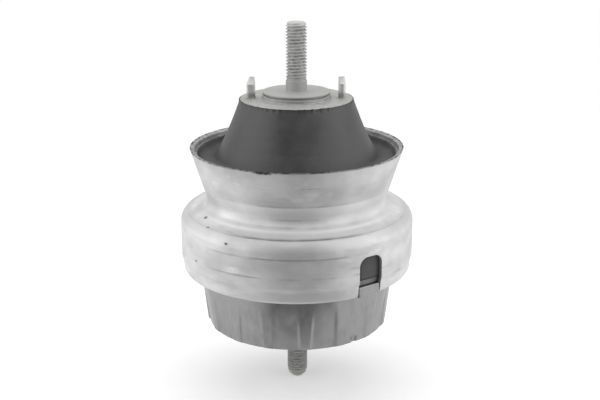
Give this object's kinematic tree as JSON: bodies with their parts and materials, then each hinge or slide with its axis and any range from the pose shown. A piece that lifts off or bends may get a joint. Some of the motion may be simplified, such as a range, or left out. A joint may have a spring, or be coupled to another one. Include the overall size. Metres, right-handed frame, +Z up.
{
  "type": "hydraulic engine mount",
  "caption": "Hydraulic engine mount: threaded stud and washer flange on a bonded rubber cone, drawn metal housing crimped round a ribbed cast base with a second stud.",
  "frame": {"origin": "centre of the base's seat face, where the lower stud leaves it", "axes": "+Z up along both studs towards the engine, -Y towards the picture's viewer, +X to the viewer's right"},
  "size_m": [0.1124, 0.1124, 0.1788],
  "materials": {
    "upper_stud": "zinc plated",
    "core_casting": "as cast",
    "rubber_spring": "satin, moulded",
    "housing_shell": "drawn, satin",
    "upper_channel_plate": "moulded",
    "decoupler_membrane": "matt",
    "lower_channel_plate": "moulded",
    "rolling_diaphragm": "matt",
    "base_cup": "die cast, matt",
    "lower_stud": "zinc plated"
  },
  "bodies": {
    "root": {"upper_stud": "upper_stud", "core_casting": "core_casting", "rubber_spring": "rubber_spring", "housing_shell": "housing_shell", "upper_channel_plate": "upper_channel_plate", "decoupler_membrane": "decoupler_membrane", "lower_channel_plate": "lower_channel_plate", "rolling_diaphragm": "rolling_diaphragm", "base_cup": "base_cup", "lower_stud": "lower_stud"}
  },
  "joints": []
}
